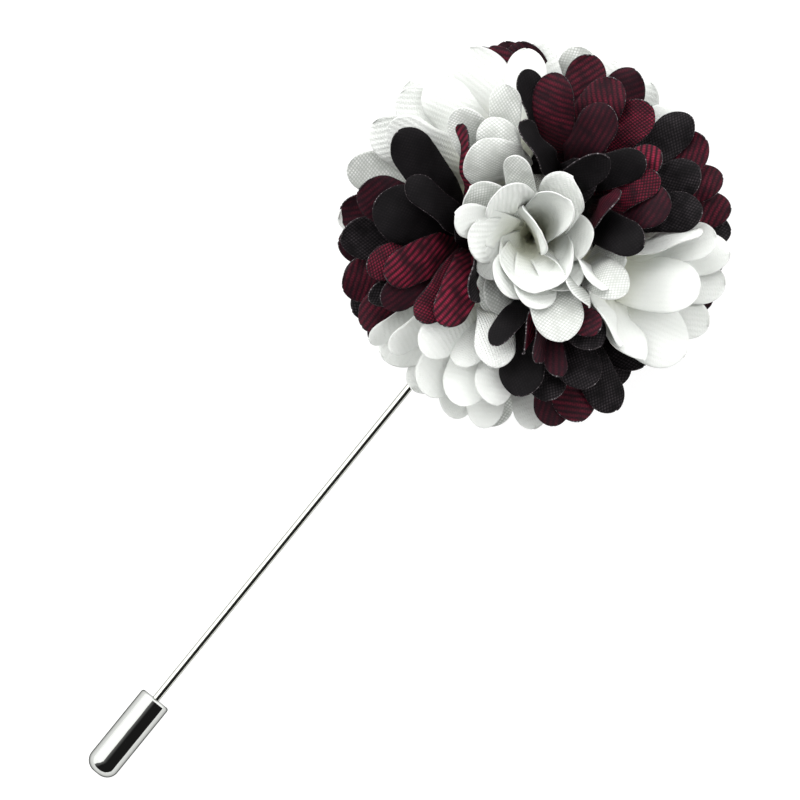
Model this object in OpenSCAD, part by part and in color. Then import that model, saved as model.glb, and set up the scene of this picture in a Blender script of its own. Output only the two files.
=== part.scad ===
// Flower stick pin for a lapel: folded ribbon florets on a felt-backed steel pin with a push-on clutch.
// The flower faces +Z, the stick runs along -Y, and the pin lies on its felt and its clutch at z = 0.

/* [Flower] */
// Diameter of the flower over its widest petals
flower_d = 42; // [38:1:48]
// Height of the petal dome above the flower's widest level
dome_h = 16; // [14:0.5:19]
// Height of the flower's widest level above the surface it lies on
waist_z = 10.5; // [10:0.5:12]
// Depth of the petal ball below the widest level
under_h = 8; // [7:0.5:8.5]
// Turn of the whole flower about its own axis, seen from the front
flower_turn = 40; // [0:5:90]

/* [Petals] */
// Width of a full-size petal
petal_w = 7; // [5:0.2:8]
// Thickness of the petal cloth
petal_t = 1; // [1:0.1:1.3]
// How far a petal's sides lift from its middle, as a share of its half width
petal_cup = 0.25; // [0.1:0.05:0.4]
// How far a petal runs along its floret's axis before it bends to its tip, as a share of its length
petal_bend = 0.45; // [0.3:0.05:0.55]
// Clearance between the petals of neighbouring florets
floret_gap = 0.2; // [0.15:0.05:0.4]
// Roll of every petal about its own length, so that it laps over its neighbour, in degrees
petal_roll = 20; // [0:5:30]
// Radius of the gathered knot at a floret's root
knot_r = 1.7; // [1.4:0.1:1.8]
// Radius of the gathered tail that runs from the knot down to the pad
tail_r = 1; // [0.8:0.1:1.1]

/* [Pad and felt] */
// Diameter of the steel pad that the florets are glued to
pad_d = 17; // [16.5:0.5:20]
// Thickness of the steel pad
pad_t = 0.6; // [0.5:0.1:0.8]
// Diameter of the felt disc that covers the pad's back
felt_d = 24; // [21:1:28]
// Thickness of the glue line under the florets, and between the felt and the steel
glue_t = 0.1; // [0.05:0.05:0.2]

/* [Stick and clutch] */
// Diameter of the stick's wire
stick_d = 0.8; // [0.7:0.05:1]
// Distance from the flower's axis to the clutch's closed end
stick_reach = 73; // [62:1:90]
// Length of the stick's sharpened point
point_l = 2.5; // [2:0.5:4]
// Depth to which the stick sinks into the pad's solder
solder_t = 0.15; // [0.1:0.05:0.2]
// Outside diameter of the clutch
clutch_d = 3.5; // [3.4:0.1:4]
// Length of the clutch
clutch_l = 10; // [9:0.5:12]
// Thickness of the metal between the clutch's bore and its closed end
nose_wall = 1.6; // [1.4:0.1:2.2]
// Radial clearance between the stick and the clutch's bore
bore_gap = 0.05; // [0.03:0.01:0.1]
// Radius of the rounded rim at the clutch's mouth
rim_r = 0.3; // [0.2:0.05:0.5]
// Radius of the rounded nose at the clutch's closed end
nose_r = 1.4; // [1:0.1:1.6]

/* [Hidden] */
// Columns of a petal's row. bearing is the direction of its tip seen from the front, 0 right and 90 up.
// polar is the angle of its tip from the flower's axis. reach is how near the tip comes to the dome.
// width is a share of petal_w. turn rolls the petal about its length: 90 shows its edge, 180 its back.
BEARING = 0;
POLAR = 1;
REACH = 2;
WIDTH = 3;
TURN = 4;

// Columns of a floret's row. bearing and polar give the direction that the floret grows in.
GROWS_BEARING = 0;
GROWS_POLAR = 1;
PETALS = 2;

WHITE = "#f4f3ee";
BURGUNDY = "#5c1020";

// Share of a petal's length that is gathered into the knot.
KNOT_SHARE = 0.36;
// How far a tail leans in on its way down, as a share of its root's distance from the flower's axis.
TAIL_LEAN = 0.75;
// Radius of the stick's point, and its clearance from the bottom of the clutch's bore.
POINT_R = 0.08;
POINT_CLEAR = 0.3;

stick_r = stick_d / 2;
clutch_r = clutch_d / 2;
stick_z = clutch_r;
pad_z = stick_z + stick_r - solder_t;
seat_z = pad_z + pad_t + glue_t;
felt_t = pad_z - glue_t;
bore_l = clutch_l - nose_wall;
stick_l = stick_reach - nose_wall - POINT_CLEAR;

// Height of the front ring's roots above the back ring's, and of the middle root above the front ring's,
// as shares of the knot's radius.
FRONT_UP = 1.6;
CENTRE_UP = 0.7;

// The white floret in the middle, with its petals from the outside in.
CENTRE = [[268, 6, [
    [168, 25, 0.98, 0.75, 10],
    [186, 18, 0.97, 0.85, 15],
    [130, 17, 0.95, 0.95, 0],
    [104, 24, 0.97, 0.70, 0],
    [50, 20, 0.94, 0.85, 0],
    [40, 14, 0.99, 1.00, 0],
    [318, 6, 0.95, 0.60, 80],
    [0, 15, 0.92, 0.85, 0],
    [276, 17, 0.97, 1.10, 0],
    [242, 22, 0.93, 0.80, 0],
    [262, 24, 0.86, 0.90, 0],
    [306, 21, 0.93, 0.80, 0],
    [284, 31, 0.88, 0.95, 10],
    [308, 27, 0.88, 0.50, 60],
]]];

// The front ring: white, burgundy, burgundy, white, burgundy, white, burgundy, clockwise from the top left.
FRONT_SHADES = [WHITE, BURGUNDY, BURGUNDY, WHITE, BURGUNDY, WHITE, BURGUNDY];
FRONT = [
    [117, 42, [
        [110, 78, 1.00, 1.15, 0],
        [94, 68, 1.00, 1.00, 20],
        [104, 50, 0.98, 0.85, 0],
        [128, 50, 0.97, 0.90, 0],
        [140, 60, 0.97, 0.80, 20],
        [112, 36, 0.98, 0.90, 0],
        [143, 33, 0.96, 1.00, 170],
        [90, 38, 0.94, 0.70, 50],
    ]],
    [62, 40, [
        [93, 55, 0.99, 0.85, 140],
        [99, 35, 0.97, 0.70, 120],
        [82, 56, 1.00, 1.10, 0],
        [74, 68, 1.00, 1.00, 0],
        [58, 62, 1.00, 0.90, 0],
        [56, 51, 0.99, 0.90, 10],
        [46, 62, 1.00, 0.80, 0],
        [35, 52, 0.98, 0.80, 0],
        [60, 32, 0.95, 1.00, 10],
        [36, 42, 0.98, 1.00, 160],
    ]],
    [16, 46, [
        [35, 80, 1.00, 0.85, 0],
        [28, 76, 1.00, 1.00, 0],
        [21, 60, 0.99, 0.85, 20],
        [18, 82, 1.00, 0.95, 0],
        [7, 80, 1.00, 0.90, 0],
        [1, 78, 0.98, 0.75, 20],
        [24, 42, 0.96, 0.80, 0],
        [13, 48, 0.97, 1.00, 0],
        [352, 34, 0.95, 1.00, 165],
    ]],
    [332, 44, [
        [6, 57, 0.98, 0.70, 60],
        [0, 65, 0.98, 0.90, 20],
        [356, 82, 1.00, 0.85, 0],
        [348, 75, 1.00, 1.00, 0],
        [335, 82, 1.00, 0.90, 0],
        [342, 58, 0.99, 1.15, 20],
        [320, 75, 1.00, 1.10, 0],
        [311, 57, 0.98, 1.00, 30],
        [336, 36, 0.94, 0.80, 0],
        [322, 33, 0.95, 0.50, 80],
    ]],
    [283, 42, [
        [262, 54, 0.98, 1.00, 150],
        [271, 42, 0.94, 0.70, 0],
        [281, 45, 0.96, 0.80, 0],
        [306, 36, 0.95, 0.70, 0],
        [300, 44, 0.95, 0.80, 20],
        [274, 73, 1.00, 0.95, 0],
        [285, 74, 1.00, 1.05, 0],
        [298, 75, 1.00, 1.05, 0],
    ]],
    [236, 46, [
        [212, 72, 1.00, 0.90, 0],
        [220, 66, 0.99, 0.80, 0],
        [224, 55, 0.98, 0.80, 0],
        [231, 50, 0.96, 1.00, 0],
        [252, 44, 0.94, 0.90, 20],
        [233, 84, 1.00, 1.10, 0],
        [245, 78, 1.00, 1.00, 0],
        [257, 84, 1.00, 1.05, 0],
    ]],
    [184, 42, [
        [167, 64, 1.00, 0.80, 10],
        [171, 56, 1.00, 1.15, 170],
        [143, 53, 0.99, 1.10, 175],
        [181, 72, 1.00, 0.80, 0],
        [190, 58, 0.99, 0.80, 0],
        [196, 50, 0.98, 1.00, 0],
        [202, 60, 0.97, 0.70, 0],
        [206, 70, 1.00, 0.90, 0],
        [219, 46, 0.97, 0.80, 0],
        [221, 38, 0.96, 0.95, 0],
        [226, 22, 0.92, 0.60, 60],
    ]],
];

// The back ring, one floret behind each gap of the front ring. Its rows give bearing and polar from the
// floret's own direction, because these florets are alike.
BACK_BEARINGS = [88, 40, 350, 308, 260, 208, 150];
BACK_SHADES = [BURGUNDY, WHITE, BURGUNDY, BURGUNDY, WHITE, BURGUNDY, WHITE];
BACK_POLAR = 84;
BACK_PETALS = [
    [-21, 86, 0.99, 0.95, 0],
    [-8, 94, 1.00, 1.00, 0],
    [7, 86, 0.99, 0.95, 0],
    [20, 92, 1.00, 0.95, 0],
    [-16, 107, 0.96, 0.95, 0],
    [3, 108, 0.97, 1.00, 0],
    [19, 109, 0.96, 0.90, 0],
];
BACK = [
    for (bearing = BACK_BEARINGS)
        [
            bearing, BACK_POLAR,
            [
                for (row = BACK_PETALS)
                    [bearing + row[BEARING], row[POLAR], row[REACH], row[WIDTH], row[TURN]]
            ]
        ]
];

FLORETS = concat(CENTRE, FRONT, BACK);
FIRST_FRONT = 1;
FIRST_BACK = 1 + len(FRONT);

// Outline of a petal: share of its length, and share of its full width there.
OUTLINE = [[0.12, 0.3], [0.42, 0.8], [0.7, 1], [0.92, 0.8], [1, 0.4]];

// Where the florets of each ring are rooted on the pad: distance from the flower's axis, and height. The
// front ring is as tight as its two closest knots allow.
front_apart = min([
    for (k = [0:len(FRONT) - 1])
        (FRONT[k][GROWS_BEARING] - FRONT[(k + 1) % len(FRONT)][GROWS_BEARING] + 360) % 360
]);
front_root_r = (knot_r + floret_gap / 2) / sin(front_apart / 2);
back_root_r = pad_d / 2 - knot_r - glue_t;
back_root_z = seat_z + knot_r;
front_root_z = back_root_z + FRONT_UP * knot_r;
centre_root_z = front_root_z + CENTRE_UP * knot_r;

function unit(v) = v / norm(v);
function place(bearing, radius, z) = [radius * cos(bearing), radius * sin(bearing), z];
function along(bearing, polar) = place(bearing, sin(polar), cos(polar));

// A petal's tip on the dome, drawn in towards the dome's centre by its reach.
function tip(row) =
    let (a = row[BEARING] + flower_turn, p = row[POLAR])
    let (h = p < 90 ? dome_h : under_h)
    place(a, row[REACH] * flower_d / 2 * sin(p), waist_z + row[REACH] * h * cos(p));

// Where floret i is rooted, the direction it grows in, and the middle of its petal tips.
function root(i) =
    i < FIRST_FRONT ? [0, 0, centre_root_z]
    : i < FIRST_BACK ? place(FLORETS[i][GROWS_BEARING] + flower_turn, front_root_r, front_root_z)
    : place(FLORETS[i][GROWS_BEARING] + flower_turn, back_root_r, back_root_z);
function growth(i) = along(FLORETS[i][GROWS_BEARING] + flower_turn, FLORETS[i][GROWS_POLAR]);
function middle(i) =
    let (tips = [for (row = FLORETS[i][PETALS]) tip(row)])
    [for (k = [0:2]) sum([for (t = tips) t[k]]) / len(tips)];
function sum(list, k = 0) = k < len(list) ? list[k] + sum(list, k + 1) : 0;

// The plane between the petals of florets i and j: it passes midway between their roots and midway between
// their petals' middles, and faces floret i.
function fence_point(i, j) = (root(i) + root(j)) / 2;
function fence_normal(i, j) =
    let (rise = unit((middle(i) + middle(j)) / 2 - fence_point(i, j)))
    let (apart = middle(i) - middle(j) + root(i) - root(j))
    unit(apart - (apart * rise) * rise);

// The petal's middle line: out of the root between the way the floret grows and the way to the tip, then
// over to the tip.
function bend_point(from, to, grows, t) =
    let (knee = from + unit(grows + unit(to - from)) * norm(to - from) * petal_bend)
    (1 - t) * (1 - t) * from + 2 * t * (1 - t) * knee + t * t * to;

// The six corners of a petal's section at share t of its length: three above, then three below.
function petal_section(from, to, grows, t, w, turn) =
    let (here = bend_point(from, to, grows, t))
    let (ahead = unit(bend_point(from, to, grows, t + 0.01) - bend_point(from, to, grows, t - 0.01)))
    let (level = unit(cross(grows, to - from)))
    let (roll = turn + petal_roll)
    let (side = cos(roll) * level + sin(roll) * unit(cross(level, ahead)))
    let (face = unit(cross(side, ahead)))
    let (edge = side * w / 2, lift = face * petal_cup * w / 2, half = face * petal_t / 2)
    [
        here - edge + lift + half, here + half, here + edge + lift + half,
        here + edge + lift - half, here - half, here - edge + lift - half
    ];

// A closed plate through sections of six corners each.
module plate(sections) {
    last = len(sections) - 1;
    sides = [
        for (k = [0:last - 1])
            for (m = [0:5])
                let (a = 6 * k + m, b = 6 * k + (m + 1) % 6)
                for (corners = [[a, a + 6, b + 6], [a, b + 6, b]])
                    corners
    ];
    start = [[0, 1, 4], [0, 4, 5], [1, 2, 3], [1, 3, 4]];
    finish = [for (corners = start) [for (c = [2:-1:0]) corners[c] + 6 * last]];
    polyhedron([for (section = sections) for (point = section) point], concat(sides, start, finish));
}

// One petal: a bent plate with a rounded outline.
module petal(from, grows, row) {
    plate([
        for (station = OUTLINE)
            petal_section(from, tip(row), grows, station[0], station[1] * row[WIDTH] * petal_w, row[TURN])
    ]);
}

// The half of space on floret i's side of its fence with floret j.
module own_side(i, j) {
    n = fence_normal(i, j);
    block = 3 * flower_d;
    translate(fence_point(i, j) + n * floret_gap / 2)
        rotate([0, acos(n[2]), atan2(n[1], n[0])])
            translate([-block / 2, -block / 2, 0]) cube(block);
}

// Floret i: petals gathered to a knot, and a tail that runs down to the pad.
module floret(i, shade) {
    at = root(i);
    color(shade) {
        intersection() {
            union() {
                for (row = FLORETS[i][PETALS])
                    petal(at, growth(i), row);
            }
            intersection_for (j = [for (k = [0:len(FLORETS) - 1]) if (k != i) k])
                own_side(i, j);
        }
        knot(i);
        if (at[2] > back_root_z)
            tail(at);
    }
}

// The gathered knot: it holds the petals' feet, which are folded together from the root up to the share
// of their length that is gathered.
module knot(i) {
    foot_w = OUTLINE[0][1] * petal_w;
    hull() {
        translate(root(i)) sphere(knot_r, $fn = 10);
        for (row = FLORETS[i][PETALS])
            plate([
                for (t = [0.9 * KNOT_SHARE, KNOT_SHARE])
                    petal_section(root(i), tip(row), growth(i), t, row[WIDTH] * foot_w, row[TURN])
            ]);
    }
}

// The tail of a floret that is rooted above the back ring.
module tail(at) {
    hull() {
        translate(at) sphere(tail_r, $fn = 12);
        translate([at[0] * TAIL_LEAN, at[1] * TAIL_LEAN, seat_z])
            cylinder(h = tail_r, r = tail_r, $fn = 12);
    }
}

module centre_floret() floret(0, WHITE);
module front_floret(k) floret(FIRST_FRONT + k - 1, FRONT_SHADES[k - 1]);
module back_floret(k) floret(FIRST_BACK + k - 1, BACK_SHADES[k - 1]);

// The felt disc on the pad's back, with a channel that the stick lies in.
module felt_back() {
    channel_w = stick_d + 2 * glue_t;
    color("#2a1a1c")
        difference() {
            cylinder(h = felt_t, d = felt_d, $fn = 96);
            translate([-channel_w / 2, -felt_d, stick_z - channel_w / 2])
                cube([channel_w, felt_d + pad_d / 4 + glue_t, felt_t]);
        }
}

// The round pad and the wire stick with its sharpened point, soldered together.
module stick_pin() {
    shank_l = stick_l - point_l;
    color("silver") {
        translate([0, 0, pad_z]) cylinder(h = pad_t, d = pad_d, $fn = 96);
        translate([0, pad_d / 4, stick_z]) rotate([90, 0, 0])
            cylinder(h = shank_l + pad_d / 4, r = stick_r, $fn = 48);
        translate([0, -shank_l, stick_z]) rotate([90, 0, 0])
            cylinder(h = point_l, r1 = stick_r, r2 = POINT_R, $fn = 48);
    }
}

// Half of the clutch's lengthwise section, from the mouth at 0 to the nose.
module clutch_outline() {
    square([clutch_r - rim_r, clutch_l - nose_r]);
    translate([0, rim_r]) square([clutch_r, clutch_l - nose_r - rim_r]);
    translate([clutch_r - rim_r, rim_r]) circle(rim_r, $fn = 48);
    square([clutch_r - nose_r, clutch_l]);
    translate([clutch_r - nose_r, clutch_l - nose_r])
        intersection() {
            circle(nose_r, $fn = 96);
            square(nose_r);
        }
}

// The clutch: a round-nosed metal sleeve with a blind bore that grips the stick.
module clutch() {
    color("gainsboro")
        translate([0, clutch_l - stick_reach, stick_z]) rotate([90, 0, 0])
            difference() {
                rotate_extrude($fn = 96) clutch_outline();
                translate([0, 0, -1]) cylinder(h = bore_l + 1, r = stick_r + bore_gap, $fn = 48);
            }
}

centre_floret();
for (k = [1:len(FRONT)])
    front_floret(k);
for (k = [1:len(BACK)])
    back_floret(k);
felt_back();
stick_pin();
clutch();
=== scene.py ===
import math
import random
from collections import namedtuple

import bmesh
import bpy
from mathutils import Matrix, Vector
from mathutils.bvhtree import BVHTree


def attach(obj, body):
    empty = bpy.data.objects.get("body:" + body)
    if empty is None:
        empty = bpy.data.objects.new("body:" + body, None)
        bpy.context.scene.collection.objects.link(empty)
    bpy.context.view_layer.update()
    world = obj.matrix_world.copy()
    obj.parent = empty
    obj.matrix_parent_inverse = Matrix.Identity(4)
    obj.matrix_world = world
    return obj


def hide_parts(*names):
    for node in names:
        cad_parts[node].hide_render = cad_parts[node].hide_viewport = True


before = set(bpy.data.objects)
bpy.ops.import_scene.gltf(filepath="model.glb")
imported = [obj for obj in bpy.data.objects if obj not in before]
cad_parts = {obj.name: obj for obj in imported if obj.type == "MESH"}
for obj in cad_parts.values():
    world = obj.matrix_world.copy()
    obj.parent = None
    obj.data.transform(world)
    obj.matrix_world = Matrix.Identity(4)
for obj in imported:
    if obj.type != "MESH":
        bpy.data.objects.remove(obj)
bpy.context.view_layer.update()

MM = 0.001

# The table, the light and the camera.
# The pin lies on a pale table with its flower up, and is seen from straight above, with the stick
# running down to the lower left of the picture.
PIXEL = 0.105 * MM
FLOWER_PIXEL = (533, 235)
PICTURE_PIXELS = 800
PICTURE_TURN = math.radians(39.1)
WAIST = 10.5 * MM
CAMERA_UP = 1600 * MM
SENSOR = 36


def in_picture(right, up, height):
    """A point given by where it shows in the picture, in metres from the flower, and by its height."""
    c = math.cos(PICTURE_TURN)
    s = math.sin(PICTURE_TURN)
    return Vector((right * c - up * s, right * s + up * c, height))


def feed(tree, node, inputs):
    """Gives each of these inputs its value, or joins it to the output that feeds it."""
    for name, value in inputs.items():
        if isinstance(value, bpy.types.NodeSocket):
            tree.links.new(value, node.inputs[name])
        else:
            node.inputs[name].default_value = value


def put(name, data):
    """A new object in the scene."""
    thing = bpy.data.objects.new(name, data)
    bpy.context.collection.objects.link(thing)
    return thing


def add(tree, kind, inputs=None, **settings):
    """A node of that kind, with its settings and its inputs."""
    node = tree.nodes.new(kind)
    for name, value in settings.items():
        setattr(node, name, value)
    feed(tree, node, inputs or {})
    return node


def calc(tree, operation, a, b=0.0, c=0.0, clamp=False):
    """The output of one Math node. MULTIPLY_ADD is a times b, plus c."""
    return add(tree, "ShaderNodeMath", {0: a, 1: b, 2: c}, operation=operation, use_clamp=clamp).outputs[0]


def noise(tree, where, scale, detail, **more):
    """The output of one Noise Texture, with so many features a metre."""
    inputs = {"Vector": where, "Scale": scale, "Detail": detail} | more
    return add(tree, "ShaderNodeTexNoise", inputs).outputs["Fac"]


def ramp(tree, value, stops):
    """A colour ramp on a value: stops are (position, colour)."""
    node = add(tree, "ShaderNodeValToRGB", {"Fac": value})
    while len(node.color_ramp.elements) < len(stops):
        node.color_ramp.elements.new(0.5)
    for element, (position, colour) in zip(node.color_ramp.elements, stops):
        element.position = position
        element.color = (*colour, 1)
    return node.outputs["Color"]


def new_material(name):
    """A material with an empty tree, its Principled BSDF and its output joined."""
    material = bpy.data.materials.new(name)
    material.use_nodes = True
    tree = material.node_tree
    tree.nodes.clear()
    shader = add(tree, "ShaderNodeBsdfPrincipled")
    add(tree, "ShaderNodeOutputMaterial", {"Surface": shader.outputs["BSDF"]})
    return material, tree, shader


TABLE_HALF = 2000 * MM
PAPER_SPECKS_A_METRE = 900


def make_table():
    mesh = bpy.data.meshes.new("table")
    corners = [(-1, -1, 0), (1, -1, 0), (1, 1, 0), (-1, 1, 0)]
    mesh.from_pydata([Vector(c) * TABLE_HALF for c in corners], [], [(0, 1, 2, 3)])
    material, tree, shader = new_material("table_paper")
    where = add(tree, "ShaderNodeTexCoord").outputs["Object"]
    speckle = noise(tree, where, PAPER_SPECKS_A_METRE, 3)
    colour = ramp(tree, speckle, [(0.3, (0.29, 0.29, 0.29)), (0.7, (0.31, 0.31, 0.31))])
    feed(tree, shader, {
        "Base Color": colour, "Roughness": 0.9, "Specular IOR Level": 0.1,
        "Emission Color": (1, 1, 1, 1), "Emission Strength": 0.8,
    })
    mesh.materials.append(material)
    table = put("table", mesh)


def softbox(name, right, up, height, size, power, in_metal=True):
    """A soft lamp that points at the flower: its place and size in metres and its power in watts.

    One that isn't in the metal leaves no reflection there.
    """
    light = bpy.data.lights.new(name, "AREA")
    light.shape = "RECTANGLE"
    light.size, light.size_y = size
    light.energy = power
    lamp = put(name, light)
    lamp.location = in_picture(right, up, height)
    lamp.rotation_euler = (Vector((0, 0, WAIST)) - lamp.location).to_track_quat("-Z", "Y").to_euler()
    lamp.visible_glossy = in_metal


ROOM_LIGHT = 1.75
SCREEN_DARK = 0.993
SCREEN_SWEEP = -0.5


def make_room():
    """White walls, and a dark screen to the right of the stick, which draws a dark line in the metal.

    The screen bends round below the stick, so that its line goes round the clutch's nose. It stops short
    of the flower's side, so that the white petals stay bright.
    """
    world = bpy.data.worlds.new("room")
    world.use_nodes = True
    tree = world.node_tree
    tree.nodes.clear()
    way = add(tree, "ShaderNodeTexCoord").outputs["Generated"]
    way = add(tree, "ShaderNodeSeparateXYZ", {0: way}).outputs
    sweep = calc(tree, "MULTIPLY", calc(tree, "MINIMUM", way["Y"], 0), SCREEN_SWEEP)
    right = calc(tree, "MULTIPLY_ADD", calc(tree, "ADD", way["X"], sweep), 0.5, 0.5)
    dark_wall = ramp(tree, right, [(0.40, (0, 0, 0)), (0.42, (0.89, 0.87, 0.94)), (0.62, (1, 0.996, 0.998))])
    above_floor = ramp(tree, way["Z"], [(0.02, (0, 0, 0)), (0.10, (1, 1, 1))])
    beside_stick = ramp(tree, way["Y"], [(0.06, (1, 1, 1)), (0.14, (0, 0, 0))])
    shade = calc(tree, "MULTIPLY", calc(tree, "MULTIPLY", dark_wall, above_floor), beside_stick)
    light = calc(tree, "MULTIPLY_ADD", shade, -SCREEN_DARK, 1)
    back = add(tree, "ShaderNodeBackground", {"Color": light, "Strength": ROOM_LIGHT})
    add(tree, "ShaderNodeOutputWorld", {"Surface": back.outputs[0]})
    bpy.context.scene.world = world
    bpy.context.scene.view_settings.view_transform = "Standard"
    bpy.context.scene.view_settings.look = "None"


def make_light():
    softbox("key_box", -0.42, 0.34, 0.46, (0.5, 0.5), 2.2)
    softbox("top_box", 0.05, 0.5, 0.6, (0.5, 0.3), 0.9, in_metal=False)
    softbox("fill_box", 0.05, -0.55, 0.4, (0.5, 0.4), 1.6, in_metal=False)
    make_room()


def make_camera():
    camera = bpy.data.cameras.new("camera")
    camera.sensor_width = SENSOR
    camera.lens = SENSOR * (CAMERA_UP - WAIST) / (PICTURE_PIXELS * PIXEL)
    camera.clip_start = 0.01
    eye = put("camera", camera)
    middle = PICTURE_PIXELS / 2
    right = (middle - FLOWER_PIXEL[0]) * PIXEL
    up = (FLOWER_PIXEL[1] - middle) * PIXEL
    eye.location = in_picture(right, up, CAMERA_UP)
    eye.rotation_euler = (0, 0, PICTURE_TURN)
    bpy.context.scene.camera = eye


make_camera()
make_table()
make_light()

# The stick.
# A straight steel wire with a ground point, soldered to a round pad that the flower is glued to. It is
# plated bright, and has the fine marks of handling along its length.
STICK_MARK_SIZE = 0.4 * MM
MARK_DEPTH = 0.05 * MM
# Scratches are thin and run along the piece, and most of them are faint.
SCRATCH_THIN = 9
SCRATCH_FAINT = 3


def new_group(name, kind, inputs, outputs):
    """A node group with those sockets, each a name and a type, and what its inputs give."""
    tree = bpy.data.node_groups.new(name, kind)
    for in_out, sockets in (("INPUT", inputs), ("OUTPUT", outputs)):
        for socket, what in sockets.items():
            tree.interface.new_socket(socket, in_out=in_out, socket_type="NodeSocket" + what)
    return tree, add(tree, "NodeGroupInput").outputs


def handling_marks():
    """A group: faint scratches and smudges on bright metal, as a roughness and a height."""
    tree, given = new_group(
        "handling_marks", "ShaderNodeTree",
        {"Vector": "Vector", "Smooth": "Float", "Worn": "Float", "Scale": "Float"},
        {"Roughness": "Float", "Height": "Float"},
    )
    where, scale = given["Vector"], given["Scale"]
    smudge = noise(tree, where, scale, 4)
    thin = (SCRATCH_THIN, 1, SCRATCH_THIN)
    where = add(tree, "ShaderNodeMapping", {"Vector": where, "Scale": thin}).outputs[0]
    mark = calc(tree, "POWER", noise(tree, where, scale, 6), SCRATCH_FAINT)
    spread = calc(tree, "SUBTRACT", given["Worn"], given["Smooth"])
    amount = calc(tree, "MULTIPLY", smudge, mark)
    rough = calc(tree, "MULTIPLY_ADD", amount, spread, given["Smooth"])
    add(tree, "NodeGroupOutput", {"Roughness": rough, "Height": mark})
    return tree


MARKS = handling_marks()


def bright_plating(name, colour, smooth, worn, mark_size):
    """Plated metal: mirror bright, slightly duller where it is handled."""
    material, tree, shader = new_material(name)
    where = add(tree, "ShaderNodeTexCoord").outputs["Object"]
    marks = add(
        tree, "ShaderNodeGroup", {"Vector": where, "Smooth": smooth, "Worn": worn, "Scale": 1 / mark_size},
        node_tree=MARKS,
    ).outputs
    height = marks["Height"]
    tone = ramp(tree, height, [(0.0, colour), (0.8, tuple(0.9 * c for c in colour))])
    bump = add(tree, "ShaderNodeBump", {"Height": height, "Strength": 0.06, "Distance": MARK_DEPTH})
    feed(tree, shader, {
        "Base Color": tone, "Roughness": marks["Roughness"], "Normal": bump.outputs["Normal"],
        # The black specular tint darkens the metal at its grazing edges: a painted dark reflection along its
        # outline.
        "Metallic": 1, "Specular Tint": (0, 0, 0, 1),
    })
    return material


def refinish(node, material):
    """Gives a node of the frame its own finish."""
    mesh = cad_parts[node].data
    mesh.materials.clear()
    mesh.materials.append(material)


refinish("stick_pin", bright_plating("stick_plating", (0.58, 0.59, 0.54), 0.06, 0.30, STICK_MARK_SIZE))

# The clutch.
# A cap drawn from thin brass, with a rounded nose and a rolled rim, plated mirror bright. A small
# spring inside it grips the stick.
CLUTCH_MARK_SIZE = 1.5 * MM
refinish("clutch", bright_plating("clutch_plating", (0.56, 0.57, 0.55), 0.03, 0.16, CLUTCH_MARK_SIZE))

# The felt back.
# A disc of black felt that closes the flower's back. It is glued to the pad, over the stick, and has
# a channel for it. Its cut edge is soft.
FELT_D = 24 * MM
FELT_T = 1.9 * MM
FELT_EDGE = 0.45 * MM
FELT_CHANNEL = 1.0 * MM
FELT_CHANNEL_FLOOR = 1.25 * MM
FELT_CHANNEL_END = 4.35 * MM
FELT_NAP = 0.12 * MM
FELT_NAP_SIZE = 0.8 * MM
FELT_FIBRES_A_METRE = 3500
FELT_CLUMPS_A_METRE = 500
FELT_FIBRE_SHARE = 0.6
FELT_RINGS = 26
FELT_CORNER_STEPS = 6
FELT_AROUND = 180


def pushed(tree, skin, way, amount):
    """The skin with each of its points moved along its way by its amount."""
    offset = add(tree, "ShaderNodeVectorMath", {0: way, "Scale": amount}, operation="SCALE").outputs[0]
    return add(tree, "GeometryNodeSetPosition", {0: skin, "Offset": offset}).outputs[0]


def put_out(tree, skin, material):
    """Ends a Geometry Nodes tree: the skin comes out smooth and real, in its material."""
    skin = add(tree, "GeometryNodeSetShadeSmooth", {0: skin}).outputs[0]
    skin = add(tree, "GeometryNodeRealizeInstances", {0: skin}).outputs[0]
    skin = add(tree, "GeometryNodeSetMaterial", {0: skin, "Material": material}).outputs[0]
    add(tree, "NodeGroupOutput", {0: skin})


def felt_nap_tree():
    """The Geometry Nodes tree that roughens the felt's skin along its normals."""
    tree, given = new_group(
        "felt_nap", "GeometryNodeTree",
        {"Geometry": "Geometry", "Nap Height": "Float", "Nap Size": "Float", "Felt": "Material"},
        {"Geometry": "Geometry"},
    )
    scale = calc(tree, "DIVIDE", 1, given["Nap Size"])
    lumps = add(tree, "ShaderNodeTexNoise", {"Scale": scale, "Detail": 3}).outputs["Fac"]
    height = calc(tree, "MULTIPLY", calc(tree, "SUBTRACT", lumps, 0.5), given["Nap Height"])
    outward = add(tree, "GeometryNodeInputNormal").outputs[0]
    put_out(tree, pushed(tree, given["Geometry"], outward, height), given["Felt"])
    return tree


def black_felt():
    material, tree, shader = new_material("black_felt")
    where = add(tree, "ShaderNodeTexCoord").outputs["Object"]
    fibres = noise(tree, where, FELT_FIBRES_A_METRE, 6, Roughness=0.7)
    clumps = noise(tree, where, FELT_CLUMPS_A_METRE, 3)
    fine = calc(tree, "MULTIPLY", fibres, FELT_FIBRE_SHARE)
    matted = calc(tree, "MULTIPLY_ADD", clumps, 1 - FELT_FIBRE_SHARE, fine)
    colour = ramp(tree, matted, [(0.35, (0.008, 0.008, 0.009)), (0.65, (0.045, 0.044, 0.048))])
    bump = add(tree, "ShaderNodeBump", {"Height": matted, "Strength": 0.8, "Distance": FELT_NAP})
    feed(tree, shader, {
        "Base Color": colour, "Roughness": 0.95, "Normal": bump.outputs["Normal"],
        "Specular IOR Level": 0.15, "Sheen Weight": 0.2,
    })
    return material


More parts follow.
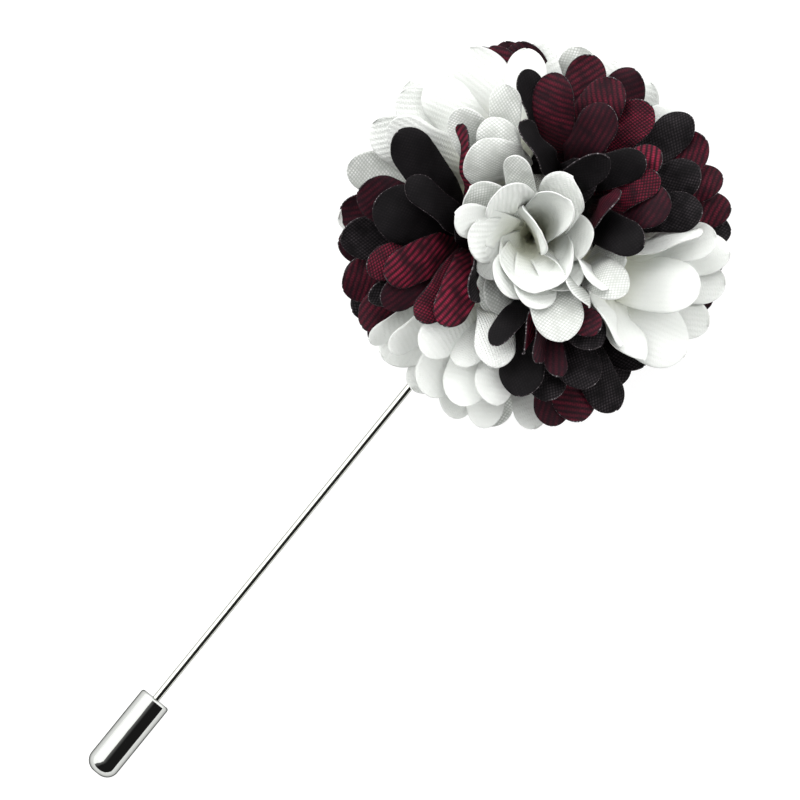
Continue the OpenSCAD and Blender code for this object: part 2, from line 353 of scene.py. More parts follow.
def revolved(name, outline, around):
    """A closed mesh turned about Z from an outline of (radius, height) that starts and ends at 0."""
    bm = bmesh.new()
    rings = []
    for radius, height in outline:
        if radius == 0:
            rings.append([bm.verts.new((0, 0, height))] * around)
        else:
            turns = [2 * math.pi * k / around for k in range(around)]
            rings.append([bm.verts.new((radius * math.cos(a), radius * math.sin(a), height)) for a in turns])
    for low, high in zip(rings, rings[1:]):
        for k in range(around):
            n = (k + 1) % around
            corners = dict.fromkeys((low[k], low[n], high[n], high[k]))
            bm.faces.new(list(corners))
    bmesh.ops.recalc_face_normals(bm, faces=bm.faces)
    mesh = bpy.data.meshes.new(name)
    bm.to_mesh(mesh)
    return mesh


def settled(maker, name):
    """The plain mesh that an object's modifiers make. The object itself is removed."""
    graph = bpy.context.evaluated_depsgraph_get()
    mesh = bpy.data.meshes.new_from_object(maker.evaluated_get(graph))
    bpy.data.objects.remove(maker)
    mesh.name = name
    return mesh


def give_inputs(modifier, values):
    """Sets a Geometry Nodes modifier's inputs by their names."""
    for item in modifier.node_group.interface.items_tree:
        if item.in_out == "INPUT" and item.name in values:
            modifier[item.identifier] = values[item.name]


def felt_disc():
    inside = FELT_D / 2 - FELT_EDGE
    outline = [(inside * k / FELT_RINGS, 0) for k in range(FELT_RINGS)]
    corner = [math.radians(90 * k / FELT_CORNER_STEPS) for k in range(FELT_CORNER_STEPS + 1)]
    outline += [(inside + FELT_EDGE * math.sin(a), FELT_EDGE * (1 - math.cos(a))) for a in corner]
    outline += [(inside + FELT_EDGE * math.cos(a), FELT_T - FELT_EDGE * (1 - math.sin(a))) for a in corner]
    outline += [(inside * k / FELT_RINGS, FELT_T) for k in range(FELT_RINGS - 1, -1, -1)]
    disc = put("felt_disc", revolved("felt_disc", outline, FELT_AROUND))
    channel = bpy.data.meshes.new("channel")
    bm = bmesh.new()
    bmesh.ops.create_cube(bm, size=1)
    start = -FELT_D
    size = (FELT_CHANNEL, FELT_CHANNEL_END - start, FELT_T)
    centre = (0, (FELT_CHANNEL_END + start) / 2, FELT_CHANNEL_FLOOR + FELT_T / 2)
    bmesh.ops.transform(bm, matrix=Matrix.Translation(centre) @ Matrix.Diagonal((*size, 1)), verts=bm.verts)
    bm.to_mesh(channel)
    cutter = put("channel", channel)
    cut = disc.modifiers.new("channel", "BOOLEAN")
    cut.object = cutter
    nap = disc.modifiers.new("nap", "NODES")
    nap.node_group = felt_nap_tree()
    give_inputs(nap, {"Nap Height": FELT_NAP, "Nap Size": FELT_NAP_SIZE, "Felt": black_felt()})
    mesh = settled(disc, "felt_disc")
    bpy.data.objects.remove(cutter)
    piece = put("felt_disc", mesh)
    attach(piece, "pin")
    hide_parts("felt_back")


felt_disc()

# The ribbon.
# Grosgrain ribbon: stout weft ribs over a fine warp. One colour is white. The other is shot, with
# dark red ribs over a near-black warp and a near-black reverse. The cut edges are sealed by heat.
RIB_PITCH = 0.58 * MM
THREAD_PITCH = 0.25 * MM
MESH_PITCH = 0.38 * MM
# The mesh of the reverse: how much longer its holes are than wide, how sharp, and how strongly it shows
# there and on a dotted face.
MESH_STRETCH = 1.3
MESH_SHARP = 0.6
MESH_GAIN = 1.3
DOTTED_GAIN = 1.5
# How much of a rib the threads over it take up.
THREAD_SHARE = 0.5
RIB_WANDER = 0.35 * MM
# The cloth's unevenness: how many of each a metre has.
RIB_BENDS_A_METRE = 300
WORN_A_METRE = 700
RAGS_A_METRE = 4000
SPECKS_A_METRE = 6000
FUZZ_A_METRE = 8000
RIBBON_THICKNESS = 0.14 * MM
# Wear: the noise that it starts from and how sharply it grows, and how much of the pattern it leaves.
WORN_FROM = 0.36
WORN_CONTRAST = 3.4
PATTERN_LEAST = 0.2
PATTERN_GAIN = 0.95
# The sealed edge: how softly it ends, and the noise from which on it is a speck.
SEAL_FADE = 1.6
SPECK_FROM = 0.6
# How much of the relief a dull petal keeps and how much the fuzz adds, and the share of its length that
# has the root's colour in full, which is painted shade deep in the floret.
RELIEF_LEAST = 0.25
FUZZ_RELIEF = 0.5
ROOT_SHADE_FULL_TO = 0.12


def woven_ribs():
    """A group: ribs across the cloth's own X and fine threads along its Y, as masks and a height."""
    tree, given = new_group(
        "woven_ribs", "ShaderNodeTree",
        {"Cloth": "Vector", "Rib Pitch": "Float", "Thread Pitch": "Float", "Mesh Pitch": "Float"},
        {"Rib": "Float", "Thread": "Float", "Mesh": "Float", "Fuzz": "Float", "Worn": "Float"},
    )
    cloth = given["Cloth"]
    shift = calc(tree, "MULTIPLY", noise(tree, cloth, RIB_BENDS_A_METRE, 2), RIB_WANDER)
    place = add(tree, "ShaderNodeSeparateXYZ", {0: cloth}).outputs
    across = calc(tree, "ADD", place["X"], shift)

    def wave(turns):
        swing = calc(tree, "COSINE", calc(tree, "MULTIPLY", turns, 2 * math.pi))
        return calc(tree, "MULTIPLY_ADD", swing, 0.5, 0.5)

    turns = calc(tree, "DIVIDE", across, given["Rib Pitch"])
    # The threads over each rib stand half a thread further along than those over the rib before.
    stagger = calc(tree, "MULTIPLY", calc(tree, "FLOOR", calc(tree, "ADD", turns, 0.5)), 0.5)
    along_rib = calc(tree, "DIVIDE", place["Y"], given["Thread Pitch"])
    thread = wave(calc(tree, "ADD", along_rib, stagger))
    column = calc(tree, "DIVIDE", across, given["Mesh Pitch"])
    course = calc(tree, "DIVIDE", place["Y"], calc(tree, "MULTIPLY", given["Mesh Pitch"], MESH_STRETCH))
    rising = wave(calc(tree, "ADD", column, course))
    falling = wave(calc(tree, "SUBTRACT", column, course))
    mesh = calc(tree, "POWER", calc(tree, "MULTIPLY", rising, falling), MESH_SHARP)
    fuzz = noise(tree, cloth, FUZZ_A_METRE, 3)
    worn = calc(tree, "SUBTRACT", noise(tree, cloth, WORN_A_METRE, 4), WORN_FROM)
    worn = calc(tree, "MULTIPLY", worn, WORN_CONTRAST, clamp=True)
    outputs = {"Rib": wave(turns), "Thread": thread, "Mesh": mesh, "Fuzz": fuzz, "Worn": worn}
    add(tree, "NodeGroupOutput", outputs)
    return tree


def sealed_edge():
    """A group: how near the cloth is to its heat-sealed cut, and the light specks of melted thread."""
    tree, given = new_group(
        "sealed_edge", "ShaderNodeTree",
        {"Cloth": "Vector", "Edge": "Float", "Width": "Float"}, {"Sealed": "Float", "Speck": "Float"},
    )
    cloth = given["Cloth"]
    reach = calc(tree, "MULTIPLY", given["Width"], noise(tree, cloth, RAGS_A_METRE, 2))
    near = calc(tree, "DIVIDE", given["Edge"], reach)
    sealed = calc(tree, "SUBTRACT", SEAL_FADE, near, clamp=True)
    bright = calc(tree, "GREATER_THAN", noise(tree, cloth, SPECKS_A_METRE, 1), SPECK_FROM)
    add(tree, "NodeGroupOutput", {"Sealed": sealed, "Speck": calc(tree, "MULTIPLY", bright, sealed)})
    return tree


WOVEN = woven_ribs()
SEALED = sealed_edge()


def blended(tree, factor, a, b):
    """The colour between a and b, each of them an output or a colour."""
    a, b = (c if isinstance(c, bpy.types.NodeSocket) else (*c, 1) for c in (a, b))
    return add(tree, "ShaderNodeMix", {"Factor": factor, 6: a, 7: b}, data_type="RGBA").outputs[2]


def ribbon_side(name, ground, rib, root, edge, speck, seal_width, relief, rough, root_shade_to, mesh_look=False):
    """One side of the ribbon, or its cut edge.

    The rib colour shows as far as the petal's look lets it. On the burgundy ribbon that is painted sheen:
    the shot cloth shows red or near black by its angle to the light. Towards the petal's foot the cloth
    turns to the root colour, which is painted shade deep in the floret.
    """
    material, tree, shader = new_material(name)
    cloth = add(tree, "ShaderNodeUVMap", uv_map="cloth").outputs["UV"]

    def own(attribute):
        return add(tree, "ShaderNodeAttribute", attribute_name=attribute).outputs["Fac"]

    weave = add(
        tree, "ShaderNodeGroup",
        {"Cloth": cloth, "Rib Pitch": RIB_PITCH, "Thread Pitch": THREAD_PITCH, "Mesh Pitch": MESH_PITCH},
        node_tree=WOVEN,
    ).outputs
    seal = add(
        tree, "ShaderNodeGroup", {"Cloth": cloth, "Edge": own("edge"), "Width": seal_width},
        node_tree=SEALED,
    ).outputs
    stout = calc(tree, "MULTIPLY_ADD", weave["Thread"], THREAD_SHARE, 1 - THREAD_SHARE)
    corded = calc(tree, "MULTIPLY", weave["Rib"], stout)
    seen = calc(tree, "MULTIPLY_ADD", weave["Worn"], PATTERN_GAIN, PATTERN_LEAST)
    if mesh_look:
        pattern = calc(tree, "MULTIPLY", weave["Mesh"], MESH_GAIN, clamp=True)
    else:
        dotted = calc(tree, "MULTIPLY", weave["Mesh"], DOTTED_GAIN)
        pick = add(tree, "ShaderNodeMix", {0: own("dotted"), 2: corded, 3: dotted}, data_type="FLOAT")
        pattern = pick.outputs[0]
    # How much rib colour shows. On the burgundy ribbon this is painted sheen of the shot cloth.
    shown = calc(tree, "MULTIPLY", calc(tree, "MULTIPLY", pattern, seen), own("ribs_and_sheen"), clamp=True)
    colour = blended(tree, shown, ground, rib)
    # Towards the foot the colour turns to the root colour: painted shade deep in the floret.
    foot = add(tree, "ShaderNodeMapRange", {"Value": own("share"), 1: ROOT_SHADE_FULL_TO, 2: root_shade_to, 3: 1.0, 4: 0.0})
    colour = blended(tree, foot.outputs[0], colour, root)
    colour = add(tree, "ShaderNodeHueSaturation", {"Color": colour, "Value": own("tone")}).outputs[0]
    colour = blended(tree, seal["Sealed"], colour, edge)
    colour = blended(tree, seal["Speck"], colour, speck)
    standing = calc(tree, "MULTIPLY_ADD", own("ribs_and_sheen"), 1 - RELIEF_LEAST, RELIEF_LEAST)
    pattern = calc(tree, "MULTIPLY", pattern, standing)
    height = calc(tree, "ADD", pattern, calc(tree, "MULTIPLY", weave["Fuzz"], FUZZ_RELIEF))
    bump = add(tree, "ShaderNodeBump", {"Height": height, "Strength": 0.8, "Distance": relief})
    feed(tree, shader, {
        "Base Color": colour, "Roughness": rough, "Normal": bump.outputs["Normal"],
        "Specular IOR Level": 0.12,
    })
    return material


WHITE_EDGE = ((0.68, 0.69, 0.67), (0.74, 0.75, 0.73))
# The white cloth turns cream towards the foot: the painted tone of the shaded funnel.
WHITE_ROOT_SHADE = (0.88, 0.88, 0.70)
WHITE_RIBBON = (
    ribbon_side("white_face", (0.80, 0.82, 0.79), (0.94, 0.95, 0.93), WHITE_ROOT_SHADE, *WHITE_EDGE,
                seal_width=0.10 * MM, relief=0.11 * MM, rough=0.7, root_shade_to=0.7),
    ribbon_side("white_reverse", (0.50, 0.52, 0.49), (0.90, 0.91, 0.89), WHITE_ROOT_SHADE, *WHITE_EDGE,
                seal_width=0.10 * MM, relief=0.025 * MM, rough=0.75, root_shade_to=0.55, mesh_look=True),
    # The white cut edge is greyer than the faces: painted shade that keeps the thin edge, which faces up
    # into the light, from glaring.
    ribbon_side("white_cut_painted_shade", (0.58, 0.59, 0.57), (0.64, 0.65, 0.63), WHITE_ROOT_SHADE, *WHITE_EDGE,
                seal_width=0.02 * MM, relief=0.01 * MM, rough=0.6, root_shade_to=0.45),
)
DARK_EDGE = ((0.014, 0.010, 0.012), (0.11, 0.095, 0.10))
# The burgundy cloth turns near black towards the foot: painted shade deep in the floret, with the shot
# cloth's darker look there.
DARK_ROOT_SHADE = (0.007, 0.005, 0.005)
BURGUNDY_RIBBON = (
    ribbon_side("burgundy_face", (0.013, 0.005, 0.008), (0.28, 0.017, 0.047), DARK_ROOT_SHADE, *DARK_EDGE,
                seal_width=0.10 * MM, relief=0.08 * MM, rough=0.65, root_shade_to=0.65),
    ribbon_side("burgundy_reverse", (0.003, 0.0025, 0.003), (0.036, 0.030, 0.034), DARK_ROOT_SHADE, *DARK_EDGE,
                seal_width=0.10 * MM, relief=0.04 * MM, rough=0.7, root_shade_to=0.65, mesh_look=True),
    ribbon_side("burgundy_cut", (0.014, 0.010, 0.012), (0.045, 0.036, 0.040), DARK_ROOT_SHADE,
                (0.035, 0.030, 0.032), (0.24, 0.22, 0.23),
                seal_width=0.5 * MM, relief=0.01 * MM, rough=0.6, root_shade_to=0.65),
)

# The florets' petals.
# Each floret is folded from ribbon cut into rounded petals, like a carnation. Its petals leave one
# gathered knot, bend over towards their tips on the flower's dome, and are slightly cupped and waved.
FLOWER_R = 21 * MM
DOME_H = 16 * MM
UNDER_H = 8 * MM
# How far a petal runs on along its floret before it bends, and how far it turns outward, as shares.
PETAL_BEND = 0.4
OUTWARD_BEND = 0.8
# Up to this angle from the flower's axis petals stand upright, and within so many degrees more they lean
# out fully.
FUNNEL_POLAR = 17
LEAN_WITHIN = 15
PETAL_ROLL = 12
SIDEWAYS = 0.1
# A petal is cupped more at its foot than at its tip.
FOOT_CUP = 1.7
TIP_CUP = 0.8
# A petal's outline: its foot's width, where its full width starts, how long and round its tip is and how
# blunt it ends, as shares, and how far round the tip the rows of the mesh go, in degrees.
OUTLINE_FOOT = 0.3
FULL_FROM = 0.62
TIP_LONGEST = 0.45
TIP_ROUND = 0.52
TIP_BLUNT = 0.008
TIP_ANGLE = 85
WAVE_HEIGHT = 0.28 * MM
WAVE_LENGTH = 6 * MM
LINE_STEPS = 20
TIP_STEPS = 10
ACROSS_STEPS = 15
# The middle line's way at a share is felt by so much before and behind it.
BY = 0.01
# What is told of a petal: its tip's bearing in the picture, the tip's angle from the flower's axis, its
# reach as a share of the dome, the petal's width in mm, its turn about its length (90 shows its edge), its
# cup (the hollow's depth as a share of half the width, below 0 hollow from the front), the ribs' direction
# in the picture, and its look.
Petal = namedtuple("Petal", "bearing polar reach width turn cup ribs look")
# A point of its middle line, and how long the line is up to there, in metres and as a share.
Spot = namedtuple("Spot", "here side face half arc share")
# A petal's look: how far its ribs stand out, how dotted it is, and whether it is turned over. On the
# burgundy ribbon how far the red ribs show is painted sheen: the shot cloth shows red or near black by its
# angle to the light.
LOOKS = {
    "bright": (1.00, 0.0, 0),
    "ribbed": (0.38, 0.15, 0),
    "dull": (0.16, 0.15, 0),
    "dotted": (0.50, 1.0, 0),
    "over": (0.80, 0.5, 1),
}


def petal_tree():
    """The Geometry Nodes tree that weaves a ribbon petal along each middle line."""
    tree, given = new_group(
        "ribbon_petals", "GeometryNodeTree",
        {
            "Geometry": "Geometry", "Across Steps": "Int", "Wave Height": "Float", "Wave Length": "Float",
            "Ribbon": "Material",
        },
        {"Geometry": "Geometry"},
    )

    def stored(name, kind="FLOAT"):
        return add(tree, "GeometryNodeInputNamedAttribute", {"Name": name}, data_type=kind).outputs[0]

    lines = add(tree, "GeometryNodeMeshToCurve", {0: given["Geometry"]}).outputs[0]
    lines = add(
        tree, "GeometryNodeSetCurveNormal", {0: lines, "Normal": stored("side", "FLOAT_VECTOR")}, mode="FREE"
    ).outputs[0]
    bar = add(tree, "GeometryNodeCurvePrimitiveLine", {"Start": (-1, 0, 0), "End": (1, 0, 0)}).outputs[0]
    bar = add(tree, "GeometryNodeResampleCurve", {0: bar, "Count": given["Across Steps"]}).outputs[0]
    place = add(tree, "ShaderNodeSeparateXYZ", {0: add(tree, "GeometryNodeInputPosition").outputs[0]})
    bar = add(
        tree, "GeometryNodeStoreNamedAttribute",
        {0: bar, "Name": "across", "Value": place.outputs["X"]}, data_type="FLOAT", domain="POINT",
    ).outputs[0]
    half_width = stored("half_width")
    sheet = add(tree, "GeometryNodeCurveToMesh", {0: lines, 1: bar, "Scale": half_width}).outputs[0]

    across = stored("across")
    arc = stored("arc")
    bend = stored("bend")
    turn = calc(tree, "MULTIPLY", calc(tree, "MULTIPLY", across, half_width), bend)
    cupped = calc(tree, "DIVIDE", calc(tree, "SUBTRACT", 1, calc(tree, "COSINE", turn)), bend)
    drawn_in = calc(tree, "DIVIDE", calc(tree, "SUBTRACT", calc(tree, "SINE", turn), turn), bend)
    swing = calc(tree, "DIVIDE", calc(tree, "MULTIPLY", arc, 2 * math.pi), given["Wave Length"])
    swing = calc(tree, "SINE", calc(tree, "ADD", swing, stored("phase")))
    waved = calc(tree, "MULTIPLY", calc(tree, "MULTIPLY", swing, across), given["Wave Height"])
    sheet = pushed(tree, sheet, stored("face", "FLOAT_VECTOR"), calc(tree, "ADD", cupped, waved))
    sheet = pushed(tree, sheet, stored("side", "FLOAT_VECTOR"), drawn_in)

    flat = add(tree, "ShaderNodeCombineXYZ", {"X": calc(tree, "MULTIPLY", across, half_width), "Y": arc})
    cloth = add(
        tree, "ShaderNodeVectorRotate", {"Vector": flat.outputs[0], "Angle": stored("weave")},
        rotation_type="Z_AXIS",
    ).outputs[0]
    patch = stored("patch", "FLOAT_VECTOR")
    cloth = add(tree, "ShaderNodeVectorMath", {0: cloth, 1: patch}, operation="ADD").outputs[0]
    sheet = add(
        tree, "GeometryNodeStoreNamedAttribute", {0: sheet, "Name": "cloth", "Value": cloth},
        data_type="FLOAT2", domain="CORNER",
    ).outputs[0]
    from_side = calc(tree, "SUBTRACT", 1, calc(tree, "ABSOLUTE", across))
    from_side = calc(tree, "MULTIPLY", from_side, half_width)
    from_tip = calc(tree, "SUBTRACT", stored("length"), arc)
    sheet = add(
        tree, "GeometryNodeStoreNamedAttribute",
        {0: sheet, "Name": "edge", "Value": calc(tree, "MINIMUM", from_side, from_tip)},
        data_type="FLOAT", domain="POINT",
    ).outputs[0]
    turned = calc(tree, "LESS_THAN", stored("over"), 0.5)
    sheet = add(tree, "GeometryNodeFlipFaces", {0: sheet, "Selection": turned}).outputs[0]
    put_out(tree, sheet, given["Ribbon"])
    return tree


PETAL_TREE = petal_tree()


def along(bearing, polar):
    """The unit vector at a bearing seen from the front and an angle from the flower's axis."""
    a = math.radians(bearing) + PICTURE_TURN
    p = math.radians(polar)
    return Vector((math.sin(p) * math.cos(a), math.sin(p) * math.sin(a), math.cos(p)))


def tip_of(bearing, polar, reach):
    """A petal's tip on the dome, drawn in by its reach."""
    way = along(bearing, polar)
    high = DOME_H if polar < 90 else UNDER_H
    return Vector((way.x * FLOWER_R * reach, way.y * FLOWER_R * reach, WAIST + way.z * high * reach))


def bezier(a, b, c, d, t):
    s = 1 - t
    return a * s ** 3 + b * 3 * s * s * t + c * 3 * s * t * t + d * t ** 3


def half_width(share, tip_start, full):
    """Half the petal's width at a share of its length: a narrow foot, full sides and a round tip."""
    grown = min(1, share / FULL_FROM)
    grown = grown * grown * (3 - 2 * grown)
    side = OUTLINE_FOOT + (1 - OUTLINE_FOOT) * grown
    if share <= tip_start:
        return full / 2 * side
    turned = (share - tip_start) / (1 - tip_start)
    return full / 2 * side * math.sqrt(max(TIP_BLUNT, 1 - turned * turned))


def petal_line(root, grows, petal, whim):
    """The spots of a petal's middle line, from its root to its tip."""
    width = petal.width * MM
    tip = tip_of(petal.bearing, petal.polar, petal.reach)
    span = (tip - root).length
    straight = (tip - root).normalized()
    outward = Vector((straight.x, straight.y, 0)).normalized()
    level = Vector((0, 0, 1)).cross(outward)
    roll = math.radians(petal.turn + PETAL_ROLL)
    laid_out = OUTWARD_BEND * min(1, max(0, (petal.polar - FUNNEL_POLAR) / LEAN_WITHIN))
    ending = straight.lerp(outward, laid_out).normalized()
    ending.z += whim["curl"]
    early = root + (grows + straight + Vector((0, 0, laid_out))).normalized() * span * PETAL_BEND
    late = tip - ending * span * PETAL_BEND
    sideways = whim["twist"] * SIDEWAYS * span
    tip_start = 1 - min(TIP_LONGEST, TIP_ROUND * width / span)
    shares = [tip_start * k / LINE_STEPS for k in range(LINE_STEPS)]
    round_tip = [math.radians(TIP_ANGLE * k / TIP_STEPS) for k in range(TIP_STEPS + 1)]
    shares += [tip_start + (1 - tip_start) * math.sin(angle) for angle in round_tip]
    line = []
    arc = 0
    for share in shares:
        here = bezier(root, early, late, tip, share) + level * sideways * math.sin(math.pi * share)
        ahead = bezier(root, early, late, tip, share + BY) - bezier(root, early, late, tip, share - BY)
        ahead.normalize()
        turned = roll + whim["twist"] * (share - 0.5)
        side = level * math.cos(turned) + level.cross(ahead).normalized() * math.sin(turned)
        if line:
            arc += (here - line[-1].here).length
        face = side.cross(ahead).normalized()
        line.append(Spot(here, side, face, half_width(share, tip_start, width), arc, share))
    return line


# From this share of its length on, a petal is laid clear of the others, and by this much.
FREE_FROM = 0.45
CLEARANCE = 0.03 * MM
SKIN_HALF = 3


def petal_skin(line, bend):
    """A coarse skin of a petal past its gathered foot, to feel for other petals with."""
    places = []
    rows = [spot for spot in line[::2] if spot.share > FREE_FROM]
    for here, side, face, half, _, _ in rows:
        for k in range(-SKIN_HALF, SKIN_HALF + 1):
            turn = bend * half * k / SKIN_HALF
            places.append(here + side * math.sin(turn) / bend + face * (1 - math.cos(turn)) / bend)
    wide = 2 * SKIN_HALF + 1
    quads = []
    for row in range(len(rows) - 1):
        for k in range(row * wide, (row + 1) * wide - 1):
            quads.append((k, k + 1, k + 1 + wide, k + wide))
    return BVHTree.FromPolygons(places, quads, epsilon=CLEARANCE)


# Upright petals are nudged outward only, and by no more than this.
UPRIGHT = 30
UPRIGHT_NUDGE = 3
# What one cut into another petal weighs against a nudge.
CUT_COST = 0.12
# Petals with no more reach than this only fill their floret. They are left out where they would cut.
FILL_REACH = 0.71
LAID = []
# So many degrees of moving a petal's tip weigh the same as so many of turning the petal.
TIP_NUDGE = 4
TURN_NUDGE = 9


def nudge_size(nudge):
    bearing, polar, turn = nudge
    return abs(bearing) / TIP_NUDGE + abs(polar) / TIP_NUDGE + abs(turn) / TURN_NUDGE


NUDGES = sorted(
    (
        (bearing, polar, turn)
        for bearing in (-4, 0, 4)
        for polar in (-9, -6, -3, 0, 3, 6, 9)
        for turn in (-24, -16, -8, 0, 8, 16, 24)
    ),
    key=nudge_size,
)


def laid_petal(root, grows, petal, bend, whim, laid):
    """The petal's line, moved as little as it takes to lie clear of the petals laid before it.

    Gives the line and how often it still cuts them.
    """
    best = None
    for nudge in NUDGES:
        bearing, polar, turn = nudge
        if petal.polar < UPRIGHT and not 0 <= polar <= UPRIGHT_NUDGE:
            continue
        if petal.reach <= FILL_REACH and polar < 0:
            continue
        moved_by = nudge_size(nudge)
        if best and moved_by >= best[0]:
            break
        moved = petal._replace(
            bearing=petal.bearing + bearing, polar=petal.polar + polar, turn=petal.turn + turn
        )
        line = petal_line(root, grows, moved, whim)
        skin = petal_skin(line, bend)
        cuts = sum(len(skin.overlap(other)) for other in laid)
        cost = moved_by + cuts * CUT_COST
        if best is None or cost < best[0]:
            best = (cost, line, skin, cuts)
    _, line, skin, cuts = best
    if cuts == 0 or petal.reach > FILL_REACH:
        laid.append(skin)
    return line, cuts


# The gathered foot, round the same knot and tail as in the solids.
KNOT_R = 1.7 * MM
TAIL_R = 1.0 * MM
FOOT_RISE = 3.5 * MM
FOOT_FOLDS = 8
FOOT_STEPS = 12
FOOT_SHARE = 0.5
FOOT_BEND = 400
# How far up the tail it bends towards the root, the tail's least width, how much wider its gathers make
# it and how often, and how far the foot follows the knot's swell.
FOOT_KNEE = 0.6
TAIL_LEAST = 0.8
TAIL_GATHER = 0.25
TAIL_GATHERS = 5
KNOT_SWELL = 0.75
# The foot's cloth looks like a petal's at this share of its length, with the painted shade towards the root.
FOOT_AT = 0.3
FOOT_PETAL = Petal(bearing=0, polar=0, reach=0, width=0, turn=0, cup=0, ribs=90, look="dull")


def foot_line(root, grows, seat, angle):
    """One fold of the gathered foot: a strip up the side of the knot, from its seat into the petals."""
    level = grows.orthogonal().normalized()
    outward = level * math.cos(angle) + grows.cross(level) * math.sin(angle)
    line = []
    arc = 0
    for k in range(FOOT_STEPS + 1):
        t = k / FOOT_STEPS
        middle = bezier(seat, seat.lerp(root, FOOT_KNEE), root, root + grows * FOOT_RISE, t)
        gathered = TAIL_R * (TAIL_LEAST + TAIL_GATHER * math.cos(TAIL_GATHERS * t))
        radius = gathered + (KNOT_R - TAIL_R) * math.sin(t * math.pi * KNOT_SWELL)
        here = middle + outward * radius
        if line:
            arc += (here - line[-1].here).length
        side = grows.cross(outward).normalized()
        line.append(Spot(here, side, outward, radius * FOOT_SHARE, arc, FOOT_AT))
    return line


def ribbon_mesh(name, lines, ribbon):
    """All lines of one floret as one mesh, woven by the Geometry Nodes tree and given its thickness."""
    places, edges, stored = [], [], {}
    for line, facts in lines:
        first = len(places)
        edges += [(first + k, first + k + 1) for k in range(len(line) - 1)]
        for here, side, face, half, arc, share in line:
            places.append(here)
            own = {"side": side, "face": face, "half_width": half, "arc": arc, "share": share}
            own["bend"] = facts["bend"] * (FOOT_CUP - (FOOT_CUP - TIP_CUP) * share)
            for key, value in (facts | own).items():
                stored.setdefault(key, []).append(value)
    mesh = bpy.data.meshes.new(name)
    mesh.from_pydata(places, edges, [])
    for key, values in stored.items():
        vector = isinstance(values[0], Vector)
        layer = mesh.attributes.new(key, "FLOAT_VECTOR" if vector else "FLOAT", "POINT")
        if vector:
            layer.data.foreach_set("vector", [c for v in values for c in v])
        else:
            layer.data.foreach_set("value", values)
    for side in ribbon:
        mesh.materials.append(side)
    maker = put(name, mesh)
    weave = maker.modifiers.new("weave", "NODES")
    weave.node_group = PETAL_TREE
    give_inputs(
        weave,
        {
            "Across Steps": ACROSS_STEPS, "Wave Height": WAVE_HEIGHT, "Wave Length": WAVE_LENGTH,
            "Ribbon": ribbon[0],
        },
    )
    wall = maker.modifiers.new("wall", "SOLIDIFY")
    wall.thickness = RIBBON_THICKNESS
    wall.offset = 0
    wall.material_offset = 1
    wall.material_offset_rim = 2
    mesh = settled(maker, name)
    for side in ribbon[len(mesh.materials):]:
        mesh.materials.append(side)
    return mesh


# How petals vary: where they are cut from the ribbon, where their wave starts, how far their ribs stray in
# degrees, and how light they are.
CUT_FROM = (0, 50 * MM)
WAVE_STARTS = (0, 6.28)
RIBS_STRAY = (-4, 4)
TONES = (0.92, 1.05)


def petal_facts(line, petal, bend, chance):
    """What one petal's cloth is like."""
    ribs_and_sheen, dotted, over = LOOKS[petal.look]
    facing = 1 if abs(petal.turn) < 90 else -1
    return {
        "patch": Vector((chance.uniform(*CUT_FROM), chance.uniform(*CUT_FROM), 0)),
        "length": line[-1].arc,
        "bend": bend,
        "phase": chance.uniform(*WAVE_STARTS),
        "weave": math.radians(facing * (petal.ribs - petal.bearing) + chance.uniform(*RIBS_STRAY)),
        "tone": chance.uniform(*TONES),
        "ribs_and_sheen": ribs_and_sheen,
        "dotted": dotted,
        "over": over,
    }


FILL_PETALS = 9
FILL_LEAST_REACH = 0.62
FILL_W = 5.0
FILL_CUP = 0.15
FILL_TURN = 12
# How many degrees the filling petals spread, and how far of that inward and sideways.
FILL_SPREAD = 21
FILL_INWARD = 0.2
FILL_ASIDE = 0.45


def filling(bearing, polar, chance):
    """The petals deep in a floret, under the ones that are seen. They stand where there is room."""
    petals = []
    for k in range(FILL_PETALS if polar > FUNNEL_POLAR else 0):
        turn = 2 * math.pi * k / FILL_PETALS
        lean = polar + FILL_SPREAD * max(-FILL_INWARD, math.sin(turn))
        aside = FILL_ASIDE * FILL_SPREAD * math.cos(turn) / math.sin(math.radians(lean))
        reach = chance.uniform(FILL_LEAST_REACH, FILL_REACH)
        roll = chance.uniform(-FILL_TURN, FILL_TURN)
        ribs = chance.uniform(0, 180)
        petals.append(Petal(bearing + aside, lean, reach, FILL_W, roll, FILL_CUP, ribs, "over"))
    return petals


# How much petals vary in cup, in twist and in the curl of their tips.
CUP_VARIES = (0.8, 1.2)
TWIST = (-0.3, 0.3)
CURL = (-0.25, 0.1)


def make_floret(name, root, middle, seat, rows, ribbon, seed):
    """Makes a floret. Each row is a petal, and middle is the bearing and polar angle it grows in."""
    chance = random.Random(seed)
    grows = along(*middle)
    lines = []
    for row in rows + filling(*middle, chance):
        petal = Petal(*row)
        # A hollow as deep as half the width is a bend of about 4 over the width.
        bend = 4 * petal.cup * chance.uniform(*CUP_VARIES) / (petal.width * MM)
        whim = {"twist": chance.uniform(*TWIST), "curl": chance.uniform(*CURL)}
        line, cuts = laid_petal(root, grows, petal, bend, whim, LAID)
        facts = petal_facts(line, petal, bend, chance)
        if cuts == 0 or petal.reach > FILL_REACH:
            lines.append((line, facts))
    for k in range(FOOT_FOLDS):
        line = foot_line(root, grows, seat, 2 * math.pi * k / FOOT_FOLDS)
        lines.append((line, petal_facts(line, FOOT_PETAL, -FOOT_BEND, chance)))
    mesh = ribbon_mesh(name + "_ribbon", lines, ribbon)
    piece = put(name + "_ribbon", mesh)
    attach(piece, "pin")
    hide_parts(name)


